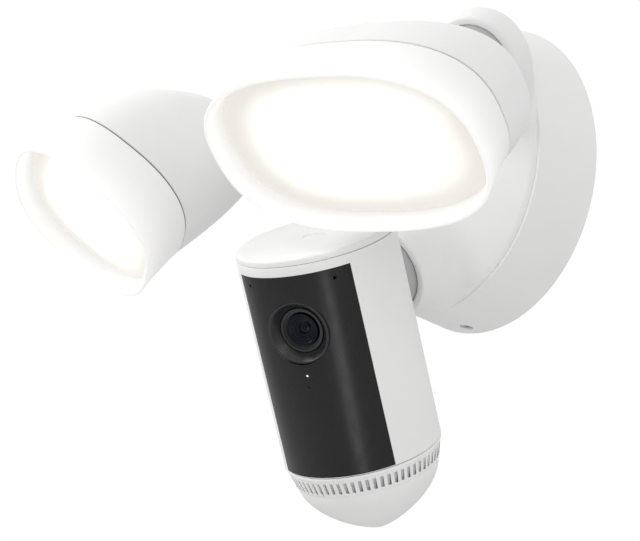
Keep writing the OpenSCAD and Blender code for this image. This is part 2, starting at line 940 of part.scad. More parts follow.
lamp_place(LEFT) led_chips();  // led_chips_l
lamp_place(LEFT) reflector();  // reflector_l
lamp_place(LEFT) diffuser();  // diffuser_l
lamp_place(LEFT) lamp_screws();  // screws_l
aim(cam_ball, cam_socket_dir) cup();  // cup_cam
cam_place() cam_stem() ball();  // ball_cam
cam_place() cam_stem() neck(27.2);  // cam_neck
cam_place() cam_shell();
cam_place() cam_cap();
cam_place() setup_button();
cam_place() cam_window();
cam_place() lens_bezel();
cam_place() lens_barrel();
cam_place() lens_glass();
cam_place() image_board();
cam_place() main_board();
cam_place() status_lights();
cam_place() infrared_leds();
cam_place() speaker();
cam_place() cam_seam();
cam_place() vent_ring();
cam_place() motion_dome();
cam_place() motion_board();
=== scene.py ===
"""The looks of a wall-mounted security camera with two floodlights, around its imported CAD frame.

Shapes are worked out in millimetres in the frame's axes (the wall is y = 0, the front is -Y,
up is +Z) and scaled to metres as each mesh is made.
"""

from math import atan, atan2, cos, degrees, exp, pi, radians, sin, sqrt, tan

import bmesh
import bpy
import numpy as np
import openvdb
from mathutils import Matrix, Vector


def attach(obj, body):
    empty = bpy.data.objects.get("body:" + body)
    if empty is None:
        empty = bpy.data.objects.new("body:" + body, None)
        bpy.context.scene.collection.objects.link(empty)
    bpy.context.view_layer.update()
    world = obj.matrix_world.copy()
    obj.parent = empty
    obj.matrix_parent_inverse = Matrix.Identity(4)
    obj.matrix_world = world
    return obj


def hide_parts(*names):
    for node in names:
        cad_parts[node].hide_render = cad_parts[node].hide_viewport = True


MM = 0.001
SLIVER = 0.004 * MM
SEGMENTS = 192
RIGHT, LEFT = 1, -1

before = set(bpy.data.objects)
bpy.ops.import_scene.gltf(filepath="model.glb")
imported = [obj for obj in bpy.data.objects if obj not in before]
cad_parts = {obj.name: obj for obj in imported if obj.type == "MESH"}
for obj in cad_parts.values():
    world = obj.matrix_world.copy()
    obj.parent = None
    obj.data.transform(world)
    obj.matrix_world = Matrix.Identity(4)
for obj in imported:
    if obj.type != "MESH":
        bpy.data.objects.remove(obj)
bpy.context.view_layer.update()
scene = bpy.context.scene
scene.view_settings.view_transform = "Standard"

# ---- sizes, as in the CAD part (mm)

BASE_R, RIM_DEPTH, RIM_TAPER, DOME_RISE, WALL = 70.0, 31.5, 5.6, 13.0, 2.4
FRONT_R = BASE_R - RIM_TAPER
COVER_BACK = 29.5
COVER_R = BASE_R - RIM_TAPER * COVER_BACK / RIM_DEPTH
EDGE_R = 3.0
DOME_R = ((FRONT_R - EDGE_R) ** 2 + DOME_RISE**2) / (2 * DOME_RISE)
DOME_TOP = RIM_DEPTH + DOME_RISE
BALL_R, STEM_R = 13.0, 5.5
CUP_IN, CUP_OUT, SOCKET_R, ARM_END_R = 13.08, 16.8, 16.88, 19.6
LAMP_MOUTH_Z, CAM_MOUTH_Z, CUP_APERTURE_R = 7.0, -3.5, 14.2
SLEEVE_BACK, SLEEVE_FRONT, SLEEVE_R, STEM_END = 20.3, 33.0, 8.0, 35.4
LAMP_BALL, CAM_BALL = (65.5, -66.7, 31.8), (0.0, -58.6, -52.0)
LAMP_MOUTH, CAM_MOUTH = (0.29, -0.77, -0.57), (0.0, -0.87, -0.49)
LAMP_ROOT, CAM_ROOT = (33.0, -26.0, 33.0), (0.0, -26.0, -34.0)
LAMP_ROOT_R, CAM_ROOT_R = 25.0, 26.0

LAMP_A, LAMP_B, LAMP_LEN, LAMP_SWEEP, LAMP_SEAM = 60.0, 38.8, 86.0, 28.6, 26.0
FACE_Y, FACE_Z, FACE_N = LAMP_SWEEP + 6.6, LAMP_LEN + 20.1, 2.55
SEAM_SCALE, SEAM_GAP, SKIN, LIP = 0.94, 0.3, 2.0, 9.0
STEM_TILT = degrees(atan2(6.6, 20.1))
# Painted glow on the lamp bezels: the emission strength at the front lip, and the depth over which it fades.
PAINTED_LIP_GLOW, PAINTED_GLOW_DEPTH = 0.28, 18.0

AXIS_Y, CAM_R = -56.0, 33.4
WINDOW_HALF, WINDOW_TOP, WINDOW_BOTTOM = 47.3, 29.0, -57.0
CAP_BOTTOM, CAP_TOP = WINDOW_TOP + 3.8, WINDOW_TOP + 6.8
HEAD_BOTTOM = WINDOW_BOTTOM - 0.2
VENT_TOP, VENT_H, SLOTS = HEAD_BOTTOM - 0.4, 9.0, 66
VENT_BOTTOM = VENT_TOP - VENT_H
DOME_H = 27.0
LENS_Z, LENS_RING_R, LENS_INNER_R, LENS_GLASS_R = 5.0, 13.2, 9.2, 6.7
LED_Z, SENSOR_Z, MIC_Z, MIC_ANGLE = -12.9, -17.5, 25.0, 34.5


# ---- places


def turn(axis, angle):
    return Matrix.Rotation(radians(angle), 4, axis)


def aim(p, v):
    """Puts +Z along v, from the point p."""
    return Matrix.Translation(p) @ Vector(v).to_track_quat("Z", "Y").to_matrix().to_4x4()


def mirrored(p, side):
    return (side * p[0], p[1], p[2])


def lamp_place(side):
    yaw, pitch, roll = (13.6, 52.8, -5.5) if side == RIGHT else (-20.4, 52.9, 12.0)
    return (
        Matrix.Translation(mirrored(LAMP_BALL, side))
        @ turn("Z", yaw)
        @ turn("X", pitch)
        @ turn("Y", -roll)
        @ turn("X", 90)
    )


def face_place(side):
    return lamp_place(side) @ Matrix.Translation((0, FACE_Y, FACE_Z))


CAM_PLACE = Matrix.Translation(CAM_BALL) @ turn("Z", 26.5) @ turn("X", 29) @ turn("Y", -3.5)
HEAD_PLACE = CAM_PLACE @ Matrix.Translation((0, AXIS_Y, 0))
LENS_PLACE = HEAD_PLACE @ Matrix.Translation((0, 0, LENS_Z)) @ turn("X", 90)
WALL_PLACE = turn("X", 90)
IN_PLACE = Matrix.Identity(4)


# ---- meshes


def to_mesh(name, verts, faces, place):
    """A mesh object from points in mm in their own axes."""
    points = np.asarray(verts, float).reshape(-1, 3)
    rotation = np.array(place.to_3x3())
    points = (points @ rotation.T + np.array(place.translation)) * MM
    mesh = bpy.data.meshes.new(name)
    mesh.from_pydata(points.tolist(), [], [list(map(int, f)) for f in faces])
    mesh.update()
    obj = bpy.data.objects.new(name, mesh)
    scene.collection.objects.link(obj)
    return obj


def smooth(obj, angle=38):
    obj.data.shade_smooth()
    obj.data.set_sharp_from_angle(angle=radians(angle))
    return obj


def bake(obj):
    """Makes the object's modifiers part of its mesh."""
    graph = bpy.context.evaluated_depsgraph_get()
    graph.update()
    mesh = bpy.data.meshes.new_from_object(obj.evaluated_get(graph))
    obj.modifiers.clear()
    obj.data = mesh
    return obj


def cut(obj, *cutters, bevel=0.0, angle=35):
    """Takes the cutters out of the piece, then rounds its sharp edges."""
    for cutter in cutters:
        hole = obj.modifiers.new("hole", "BOOLEAN")
        hole.operation = "DIFFERENCE"
        hole.solver = "EXACT"
        hole.object = cutter
    bake(obj)
    for cutter in cutters:
        bpy.data.objects.remove(cutter)
    work = bmesh.new()
    work.from_mesh(obj.data)
    bmesh.ops.remove_doubles(work, verts=work.verts, dist=SLIVER)
    bmesh.ops.dissolve_degenerate(work, dist=SLIVER, edges=work.edges)
    work.to_mesh(obj.data)
    work.free()
    return rounded(obj, bevel, angle) if bevel else obj


def rounded(obj, width, angle=35, segments=3):
    edge = obj.modifiers.new("edge", "BEVEL")
    edge.width = width * MM
    edge.segments = segments
    edge.limit_method = "ANGLE"
    edge.angle_limit = radians(angle)
    edge.use_clamp_overlap = True
    return bake(obj)


def bridge(m, k, closed):
    """Quads between m rings of k points."""
    rows = m if closed else m - 1
    return [
        (j * k + i, j * k + (i + 1) % k, (j + 1) % m * k + (i + 1) % k, (j + 1) % m * k + i)
        for j in range(rows)
        for i in range(k)
    ]


def loft(name, rings, place, closed=False):
    """A skin through rings of points: a closed wall, or a solid with flat or pointed ends."""
    m, k = len(rings), len(rings[0])
    verts = np.concatenate(rings)
    faces = bridge(m, k, closed)
    if not closed:
        faces += [tuple(range(k))[::-1], tuple((m - 1) * k + i for i in range(k))]
    obj = to_mesh(name, verts, faces, place)
    return outward(obj)


def lathe(name, profile, place, segments=SEGMENTS):
    """Turns a closed outline of (radius, height) about Z. Points on the axis become one point."""
    verts, rows = [], []
    for r, z in profile:
        if r < 1e-6:
            rows.append([len(verts)] * segments)
            verts.append((0, 0, z))
        else:
            rows.append(list(range(len(verts), len(verts) + segments)))
            steps = (2 * pi * i / segments for i in range(segments))
            verts += [(r * cos(t), r * sin(t), z) for t in steps]
    faces = []
    for j, low in enumerate(rows):
        high = rows[(j + 1) % len(rows)]
        if low[0] == low[1] and high[0] == high[1]:
            continue
        for i in range(segments):
            quad = (low[i], low[(i + 1) % segments], high[(i + 1) % segments], high[i])
            faces.append(tuple(dict.fromkeys(quad)))
    return outward(to_mesh(name, verts, faces, place))


def outward(obj):
    """Turns every face outwards."""
    mesh = obj.data
    fans = [
        (p.vertices[0], p.vertices[i], p.vertices[i + 1])
        for p in mesh.polygons
        for i in range(1, len(p.vertices) - 1)
    ]
    co = np.empty(len(mesh.vertices) * 3)
    mesh.vertices.foreach_get("co", co)
    a, b, c = (co.reshape(-1, 3)[np.array(fans)[:, i]] for i in range(3))
    if np.einsum("ij,ij->i", a, np.cross(b, c)).sum() < 0:
        mesh.flip_normals()
    return obj


def arc(cx, cz, r, start, end, steps=6):
    """Points on an arc, with angles in degrees from +radius towards +height."""
    return [
        (cx + r * cos(radians(t)), cz + r * sin(radians(t)))
        for t in np.linspace(start, end, steps + 1)
    ]


def soften(profile, r=0.3, steps=3):
    """Rounds each corner of a closed outline, where its neighbours leave room."""
    out = []
    n = len(profile)
    for i, p in enumerate(profile):
        p = np.array(p, float)
        before, after = np.array(profile[i - 1], float) - p, np.array(profile[(i + 1) % n], float) - p
        lb, la = np.linalg.norm(before), np.linalg.norm(after)
        bend = np.dot(before, after) / (lb * la)
        if p[0] < 1e-6 or bend < -0.92:
            out.append(tuple(p))
            continue
        size = min(r, 0.4 * lb, 0.4 * la)
        start, end = p + before / lb * size, p + after / la * size
        for t in np.linspace(0, 1, steps + 1):
            q = (1 - t) ** 2 * start + 2 * t * (1 - t) * p + t * t * end
            out.append((float(q[0]), float(q[1])))
    return out


def box(name, low, high, place):
    (x0, y0, z0), (x1, y1, z1) = low, high
    verts = [(x, y, z) for x in (x0, x1) for y in (y0, y1) for z in (z0, z1)]
    faces = [(0, 1, 3, 2), (4, 6, 7, 5), (0, 4, 5, 1), (2, 3, 7, 6), (0, 2, 6, 4), (1, 5, 7, 3)]
    return outward(to_mesh(name, verts, faces, place))


def rod(name, r, z0, z1, place, segments=64):
    return lathe(name, [(0, z0), (r, z0), (r, z1), (0, z1)], place, segments)


def prism(name, outline, z0, z1, place):
    """A plate with that outline, as (x, y) points in order."""
    rings = [np.array([(x, y, z) for x, y in outline]) for z in (z0, z1)]
    return loft(name, rings, place)


# ---- materials


PATCH_SCALE = 28


def nodes_of(name):
    material = bpy.data.materials.new(name)
    material.use_nodes = True
    tree = material.node_tree
    return material, tree, tree.nodes["Principled BSDF"]


def noise(tree, scale, detail, where, distortion=0.0):
    n = tree.nodes.new("ShaderNodeTexNoise")
    n.inputs["Scale"].default_value = scale
    n.inputs["Detail"].default_value = detail
    n.inputs["Distortion"].default_value = distortion
    tree.links.new(where, n.inputs["Vector"])
    return n.outputs["Fac"]


def spread(tree, value, low, high):
    """Maps a noise's usual range to low..high."""
    m = tree.nodes.new("ShaderNodeMapRange")
    m.inputs["From Min"].default_value = 0.3
    m.inputs["From Max"].default_value = 0.7
    m.inputs["To Min"].default_value = low
    m.inputs["To Max"].default_value = high
    tree.links.new(value, m.inputs["Value"])
    return m.outputs["Result"]


def moulded(
    name,
    light,
    dark,
    rough,
    grain=1900,
    bump=0.05,
    depth=0.02,
    metallic=0.0,
    specular=0.5,
):
    """Moulded or cast material: colour drifts in broad patches, and a fine grain breaks up the gloss."""
    material, tree, shader = nodes_of(name)
    where = tree.nodes.new("ShaderNodeTexCoord").outputs["Object"]
    ramp = tree.nodes.new("ShaderNodeValToRGB")
    ramp.color_ramp.elements[0].position = 0.3
    ramp.color_ramp.elements[0].color = (*dark, 1)
    ramp.color_ramp.elements[1].position = 0.7
    ramp.color_ramp.elements[1].color = (*light, 1)
    tree.links.new(noise(tree, PATCH_SCALE, 4, where), ramp.inputs["Fac"])
    tree.links.new(ramp.outputs["Color"], shader.inputs["Base Color"])
    fine = noise(tree, grain, 3, where)
    tree.links.new(spread(tree, noise(tree, 160, 5, where), *rough), shader.inputs["Roughness"])
    relief = tree.nodes.new("ShaderNodeBump")
    relief.inputs["Strength"].default_value = bump
    relief.inputs["Distance"].default_value = depth * MM
    tree.links.new(fine, relief.inputs["Height"])
    tree.links.new(relief.outputs["Normal"], shader.inputs["Normal"])
    shader.inputs["Metallic"].default_value = metallic
    shader.inputs["Specular IOR Level"].default_value = specular
    return material


def glowing(name):
    """A lit diffuser: brightest in the middle, creamier towards its edge, faintly mottled."""
    material, tree, shader = nodes_of(name)
    where = tree.nodes.new("ShaderNodeTexCoord").outputs["Object"]
    reach = tree.nodes.new("ShaderNodeAttribute")
    reach.attribute_name = "reach"
    mottle = tree.nodes.new("ShaderNodeMath")
    mottle.operation = "MULTIPLY_ADD"
    mottle.inputs[1].default_value = 0.06
    tree.links.new(noise(tree, 60, 3, where), mottle.inputs[0])
    tree.links.new(reach.outputs["Fac"], mottle.inputs[2])
    tint = tree.nodes.new("ShaderNodeValToRGB")
    stops = tint.color_ramp.elements
    stops[0].position, stops[0].color = 0.45, (1.0, 0.975, 0.92, 1)
    stops[1].position, stops[1].color = 1.0, (1.0, 0.965, 0.9, 1)
    tree.links.new(mottle.outputs["Value"], tint.inputs["Fac"])
    tree.links.new(tint.outputs["Color"], shader.inputs["Emission Color"])
    power = tree.nodes.new("ShaderNodeMapRange")
    power.interpolation_type = "SMOOTHSTEP"
    power.inputs["From Min"].default_value = 0.15
    power.inputs["From Max"].default_value = 1.0
    power.inputs["To Min"].default_value = 2.4
    power.inputs["To Max"].default_value = 0.44
    tree.links.new(mottle.outputs["Value"], power.inputs["Value"])
    tree.links.new(power.outputs["Result"], shader.inputs["Emission Strength"])
    shader.inputs["Base Color"].default_value = (0.46, 0.45, 0.42, 1)
    tree.links.new(spread(tree, noise(tree, 900, 3, where), 0.3, 0.5), shader.inputs["Roughness"])
    relief = tree.nodes.new("ShaderNodeBump")
    relief.inputs["Strength"].default_value = 0.1
    relief.inputs["Distance"].default_value = 0.03 * MM
    tree.links.new(noise(tree, 1400, 2, where), relief.inputs["Height"])
    tree.links.new(relief.outputs["Normal"], shader.inputs["Normal"])
    return material


def painted_glow_plastic(name):
    """White plastic with a painted glow: its emission stands in for the lamp's light on and through it, most of
    all at its lip.
    """
    material = moulded(name, (0.87, 0.87, 0.865), (0.84, 0.84, 0.835), (0.42, 0.56))
    tree = material.node_tree
    shader = tree.nodes["Principled BSDF"]
    # Painted glow: a point attribute sets the emission that stands in for the diffuser's light on this plastic.
    painted_glow = tree.nodes.new("ShaderNodeAttribute")
    painted_glow.attribute_name = "painted_glow"
    tree.links.new(painted_glow.outputs["Fac"], shader.inputs["Emission Strength"])
    shader.inputs["Emission Color"].default_value = (1.0, 0.985, 0.955, 1)
    return material


def brushed(name):
    """Brushed steel: fine scratches along one direction."""
    material = moulded(name, (0.62, 0.62, 0.63), (0.5, 0.5, 0.52), (0.28, 0.45), 700, 0.15, 0.02, 1.0)
    tree = material.node_tree
    stretch = tree.nodes.new("ShaderNodeMapping")
    stretch.inputs["Scale"].default_value = (0.08, 1, 1)
    where = tree.nodes["Texture Coordinate"].outputs["Object"]
    tree.links.new(where, stretch.inputs["Vector"])
    for n in tree.nodes:
        if n.type == "TEX_NOISE" and n.inputs["Scale"].default_value > 100:
            tree.links.new(stretch.outputs["Vector"], n.inputs["Vector"])
    return material


def clear_glass(name):
    """Coated lens glass, with a faint bloom of dust that breaks the gloss."""
    material, tree, shader = nodes_of(name)
    where = tree.nodes.new("ShaderNodeTexCoord").outputs["Object"]
    shader.inputs["Base Color"].default_value = (0.003, 0.003, 0.006, 1)
    shader.inputs["Specular IOR Level"].default_value = 0.16
    shader.inputs["Specular Tint"].default_value = (0.72, 0.82, 1.0, 1)
    shader.inputs["Coat Weight"].default_value = 0.1
    shader.inputs["Coat Roughness"].default_value = 0.02
    tree.links.new(spread(tree, noise(tree, 400, 4, where), 0.03, 0.09), shader.inputs["Roughness"])
    relief = tree.nodes.new("ShaderNodeBump")
    relief.inputs["Strength"].default_value = 0.02
    relief.inputs["Distance"].default_value = 0.01 * MM
    tree.links.new(noise(tree, 300, 2, where), relief.inputs["Height"])
    tree.links.new(relief.outputs["Normal"], shader.inputs["Normal"])
    return material


def lit_point(name):
    material, tree, shader = nodes_of(name)
    where = tree.nodes.new("ShaderNodeTexCoord").outputs["Object"]
    shader.inputs["Base Color"].default_value = (0.85, 0.9, 1.0, 1)
    shader.inputs["Emission Color"].default_value = (0.8, 0.9, 1.0, 1)
    tree.links.new(spread(tree, noise(tree, 900, 2, where), 0.5, 0.9), shader.inputs["Emission Strength"])
    tree.links.new(spread(tree, noise(tree, 700, 2, where), 0.15, 0.3), shader.inputs["Roughness"])
    return material


GREEN, DARK_GREEN = (0.03, 0.16, 0.07), (0.02, 0.1, 0.045)
MATERIALS = {
    "shell_white": moulded("shell_white", (0.87, 0.87, 0.865), (0.84, 0.84, 0.835), (0.42, 0.56)),
    "diffuser": glowing("diffuser"),
    "window_black": moulded(
        "window_black", (0.012, 0.012, 0.013), (0.008, 0.008, 0.009), (0.2, 0.3), 900, 0.01, 0.01, specular=0.34
    ),
    "dome_white": moulded("dome_white", (0.86, 0.86, 0.855), (0.83, 0.83, 0.825), (0.34, 0.46)),
    "trim_black": moulded("trim_black", (0.022, 0.022, 0.024), (0.014, 0.014, 0.016), (0.18, 0.32), 1500),
    "lens_glass": clear_glass("lens_glass"),
    "gasket": moulded("gasket", (0.26, 0.26, 0.26), (0.2, 0.2, 0.2), (0.6, 0.8), 1200, 0.2),
    "cup_grey": moulded("cup_grey", (0.5, 0.5, 0.5), (0.44, 0.44, 0.44), (0.45, 0.6)),
    "board": moulded("board", GREEN, DARK_GREEN, (0.3, 0.45), 800),
    "board_white": moulded("board_white", (0.85, 0.85, 0.83), (0.78, 0.78, 0.76), (0.35, 0.5)),
    "led": moulded("led", (0.9, 0.72, 0.25), (0.8, 0.6, 0.18), (0.3, 0.5)),
    "aluminium": moulded(
        "aluminium", (0.72, 0.72, 0.74), (0.62, 0.62, 0.64), (0.35, 0.55), 900, 0.2, metallic=1.0
    ),
    "steel": brushed("steel"),
    "component_dark": moulded("component_dark", (0.05, 0.05, 0.055), (0.03, 0.03, 0.035), (0.3, 0.5)),
    "component_yellow": moulded("component_yellow", (0.7, 0.52, 0.1), (0.6, 0.42, 0.07), (0.3, 0.5)),
    "lead_jacket": moulded("lead_jacket", (0.06, 0.06, 0.06), (0.04, 0.04, 0.04), (0.4, 0.6)),
    "indicator": lit_point("indicator"),
}
# Bezel plastic with a painted glow, standing in for the lamp's light on it.
PAINTED_GLOW_WHITE = painted_glow_plastic("bezel_white")
VENT_SHADE = moulded("vent_shade", (0.74, 0.74, 0.74), (0.68, 0.68, 0.68), (0.6, 0.8))
SOFT_WHITE = moulded("sleeve_white", (0.8, 0.8, 0.79), (0.76, 0.76, 0.75), (0.35, 0.5))

# Each CAD node gets its slot's material; those with a finer piece are hidden again below.
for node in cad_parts.values():
    for piece_slot in node.material_slots:
        wanted = piece_slot.material.name.split(".")[0] if piece_slot.material else "shell_white"
        piece_slot.material = MATERIALS.get(wanted, MATERIALS["shell_white"])


def place_piece(obj, body, slot, *replaced, material=None):
    """Gives a piece its material and its body, and hides the CAD nodes that it stands for."""
    obj.data.materials.clear()
    obj.data.materials.append(material or MATERIALS[slot])
    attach(obj, body)
    if replaced:
        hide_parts(*replaced)
    return obj


# ---- base


def smooth_min(a, b, k):
    h = np.maximum(k - np.abs(a - b), 0) / k
    return np.minimum(a, b) - h * h * k / 4


def smooth_max(a, b, k):
    return -smooth_min(-a, -b, k)


def round_max(a, b, r):
    """The intersection of two solids, with its edge rounded to that radius."""
    return np.minimum(np.maximum(a, b), -r) + np.hypot(np.maximum(a + r, 0), np.maximum(b + r, 0))


def length(p, centre):
    return np.sqrt(sum((p[i] - centre[i]) ** 2 for i in range(3)))


def cone_field(p, a, b, ra, rb):
    """Distance to a rounded cone between two points."""
    a, b = np.array(a), np.array(b)
    ba = b - a
    l2 = float(ba @ ba)
    rr = ra - rb
    a2 = l2 - rr * rr
    pa = [p[i] - a[i] for i in range(3)]
    y = sum(pa[i] * ba[i] for i in range(3))
    z = y - l2
    x2 = sum((pa[i] * l2 - ba[i] * y) ** 2 for i in range(3))
    y2, z2 = y * y * l2, z * z * l2
    k = np.sign(rr) * rr * rr * x2
    side = (np.sqrt(x2 * a2 / l2) + y * rr) / l2 - ra
    near = np.sqrt(x2 + y2) / l2 - ra
    far = np.sqrt(x2 + z2) / l2 - rb
    return np.where(np.sign(z) * a2 * z2 > k, far, np.where(np.sign(y) * a2 * y2 < k, near, side))


def arm_field(p, root, ball, root_r):
    axis = Vector(ball) - Vector(root)
    axis.normalize()
    flat = -sum((p[i] - root[i]) * axis[i] for i in range(3))
    body = np.maximum(cone_field(p, root, ball, root_r, ARM_END_R - 0.9), flat)
    return smooth_min(body, length(p, ball) - ARM_END_R, 3.0)


# Each arm's root, ball's centre and root radius; and each socket's centre, direction and mouth.
ARMS = [(mirrored(LAMP_ROOT, side), mirrored(LAMP_BALL, side), LAMP_ROOT_R) for side in (LEFT, RIGHT)]
ARMS.append((CAM_ROOT, CAM_BALL, CAM_ROOT_R))
SOCKETS = [(mirrored(LAMP_BALL, side), mirrored(LAMP_MOUTH, side), LAMP_MOUTH_Z) for side in (LEFT, RIGHT)]
SOCKETS.append((CAM_BALL, CAM_MOUTH, CAM_MOUTH_Z))


def cover_outside(p):
    """Distance to the cover's outer form: the dome with its three arms blended in."""
    depth = -p[1]
    r = np.hypot(p[0], p[2])
    sphere = np.sqrt(r * r + (depth - (DOME_TOP - DOME_R)) ** 2) - DOME_R
    slope = atan(RIM_TAPER / RIM_DEPTH)
    side = (r - (BASE_R - RIM_TAPER * depth / RIM_DEPTH)) * cos(slope)
    dome = round_max(sphere, side, EDGE_R)
    flare = (r - COVER_R - 1.4 * np.maximum(depth - COVER_BACK, 0)) / sqrt(1 + 1.4**2)
    arms = None
    for root, ball, root_r in ARMS:
        arm = smooth_max(arm_field(p, root, ball, root_r), flare, 4.0)
        arms = arm if arms is None else smooth_min(arms, arm, 2.0)
    return smooth_min(dome, arms, 9.0)


def cover_field(p):
    """Distance to the cover: a thin moulding with a round socket and a mouth in each arm."""
    outside = cover_outside(p)
    solid_ends = ARM_END_R + 0.6 - np.minimum.reduce([length(p, ball) for ball, _mouth, _z in SOCKETS])
    hollow = smooth_max(outside + WALL, solid_ends, 1.5)
    shell = smooth_max(outside, -hollow, 0.8)
    for ball, mouth, mouth_z in SOCKETS:
        shell = smooth_max(shell, SOCKET_R - length(p, ball), 0.8)
        m = Vector(mouth).normalized()
        along = sum((p[i] - ball[i]) * m[i] for i in range(3))
        across = np.sqrt(np.maximum(length(p, ball) ** 2 - along**2, 0))
        shell = smooth_max(shell, -np.maximum(across - (ARM_END_R + 4), mouth_z - along), 0.8)
    return np.maximum(shell, p[1] + COVER_BACK)


def base_cover():
    step = 0.75
    low, high = np.array([-88.0, -89.0, -75.0]), np.array([88.0, -27.0, 68.0])
    axes = [np.arange(low[i], high[i], step) for i in range(3)]
    values = np.empty([len(a) for a in axes], np.float32)
    for i in range(0, len(axes[0]), 24):
        block = np.meshgrid(axes[0][i : i + 24], axes[1], axes[2], indexing="ij")
        values[i : i + 24] = cover_field(block)
    grid = openvdb.FloatGrid(10.0)
    grid.copyFromArray(values)
    points, quads = grid.convertToQuads(isovalue=0.0)
    points = points.astype(float) * step + low
    h = 0.04
    back = points[:, 1] > -COVER_BACK - 0.45 * step
    for _round in range(3):
        p = [points[:, i] for i in range(3)]
        value = cover_field(p)
        slopes = []
        for i in range(3):
            ahead = cover_field([p[j] + h * (i == j) for j in range(3)])
            behind = cover_field([p[j] - h * (i == j) for j in range(3)])
            slopes.append((ahead - behind) / (2 * h))
        slope = np.stack(slopes, 1)
        size = np.maximum((slope**2).sum(1), 0.25)
        points -= np.clip(value, -step, step)[:, None] * slope / size[:, None]
    points[back, 1] = -COVER_BACK
    obj = outward(to_mesh("cover", points, quads, IN_PLACE))
    return place_piece(smooth(obj, 50), "base", "shell_white", "base_cover")


def base_rim():
    inner = BASE_R - WALL
    outline = [
        (inner, 0),
        (BASE_R - 0.8, 0),
        (BASE_R, 0.9),
        (COVER_R, COVER_BACK),
        (COVER_R - WALL, COVER_BACK),
        (inner, 1),
    ]
    rim = lathe("rim", soften(outline, 0.35), WALL_PLACE, 256)
    screw = Matrix.Translation((0, -9, -(BASE_R - 9 * RIM_TAPER / RIM_DEPTH - WALL))) @ turn("X", 180)
    cut(
        rim,
        rod("screw_hole", 1.6, -4, 8, screw),
        lathe("screw_recess", [(0, 1.2), (3, 1.2), (3, 12), (0, 12)], screw, 64),
    )
    return place_piece(smooth(rim), "base", "shell_white", "base_rim")


# ---- ball joints


def cup(name, place, body, node):
    """The cup's ball-shaped hollow opens as a cone, and leads come in behind."""
    cone = atan(CUP_APERTURE_R / 9)
    rear = 6.9
    outline = arc(0, 0, CUP_OUT, degrees(-pi / 2 + rear / CUP_OUT) - 0.4, 90 - degrees(cone), 40)
    outline += arc(0, 0, CUP_IN, 90 - degrees(cone), degrees(-pi / 2 + rear / CUP_IN) + 2.0, 40)
    obj = lathe(name, soften(outline, 0.35), place, 128)
    return place_piece(smooth(obj), body, "cup_grey", node)


def ball(name, place, body, slot, node):
    """Ball with its hollow stem, and a flange at the stem's end."""
    foot = degrees(atan2(sqrt(BALL_R**2 - STEM_R**2), STEM_R))
    outline = arc(0, 0, BALL_R, -76.6, foot - 3, 48)
    outline += [
        (STEM_R + 0.25, sqrt(BALL_R**2 - STEM_R**2) + 0.2),
        (STEM_R, sqrt(BALL_R**2 - STEM_R**2) + 1.1),
        (STEM_R, SLEEVE_FRONT + 0.3),
        (8.6, SLEEVE_FRONT + 0.3),
        (8.6, STEM_END),
        (3, STEM_END),
    ]
    obj = lathe(name, soften(outline, 0.3), place, 128)
    return place_piece(smooth(obj), body, slot, node)


def neck(name, place, body, flange_back, node):
    """The sleeve that turns on the stem, with a flange at the end away from the ball."""
    outline = [
        (STEM_R + 0.06, SLEEVE_BACK),
        (SLEEVE_R - 0.6, SLEEVE_BACK),
        (SLEEVE_R, SLEEVE_BACK + 0.6),
        (SLEEVE_R, flange_back),
        (SLEEVE_R + 2.4, flange_back),
        (SLEEVE_R + 2.4, SLEEVE_FRONT),
        (STEM_R + 0.06, SLEEVE_FRONT),
    ]
    obj = lathe(name, soften(outline, 0.3), place, 128)
    return place_piece(smooth(obj), body, "shell_white", node, material=SOFT_WHITE)


# ---- lamps


def ring(a, b, n, y, z, k=SEGMENTS):
    t = 2 * pi * (np.arange(k) + 0.5) / k
    x = a * np.sign(np.cos(t)) * np.abs(np.cos(t)) ** (2 / n)
    h = b * np.sign(np.sin(t)) * np.abs(np.sin(t)) ** (2 / n)
    return np.stack([x, y + h, np.full(k, float(z))], 1)


def swell(z):
    """Scale of the lamp's section at a depth behind its face."""
    if z <= LAMP_SEAM:
        return 1 - (1 - SEAM_SCALE) * z / LAMP_SEAM
    return SEAM_SCALE * sqrt(max(0.0, 1 - ((z - LAMP_SEAM) / (LAMP_LEN - LAMP_SEAM)) ** 2.2))


def sweep_y(z):
    return -LAMP_SWEEP * (z / LAMP_LEN) ** 2


def section(z, inset, scale=1.0):
    a, b = LAMP_A * swell(z) - inset, LAMP_B * swell(z) - inset
    return ring(a * scale, b * scale, FACE_N, sweep_y(z), -z)


def rear_section(z):
    """Sections near the rear end turn round, to meet the neck."""
    depth = LAMP_LEN - LAMP_SEAM
    t = min(max((z - LAMP_SEAM) / depth, 0), 1)
    s = min(max((t - 0.72) / 0.28, 0), 1)
    w = s * s * (3 - 2 * s)
    a = sqrt((LAMP_A * swell(z)) ** 2 + (10.4 * w) ** 2)
    b = sqrt((LAMP_B * swell(z)) ** 2 + (10.4 * w) ** 2)
    return ring(a, b, FACE_N * (1 - w) + 2 * w, sweep_y(z), -z)


def round_section(r, z):
    return ring(r, r, 2, sweep_y(z), -z)


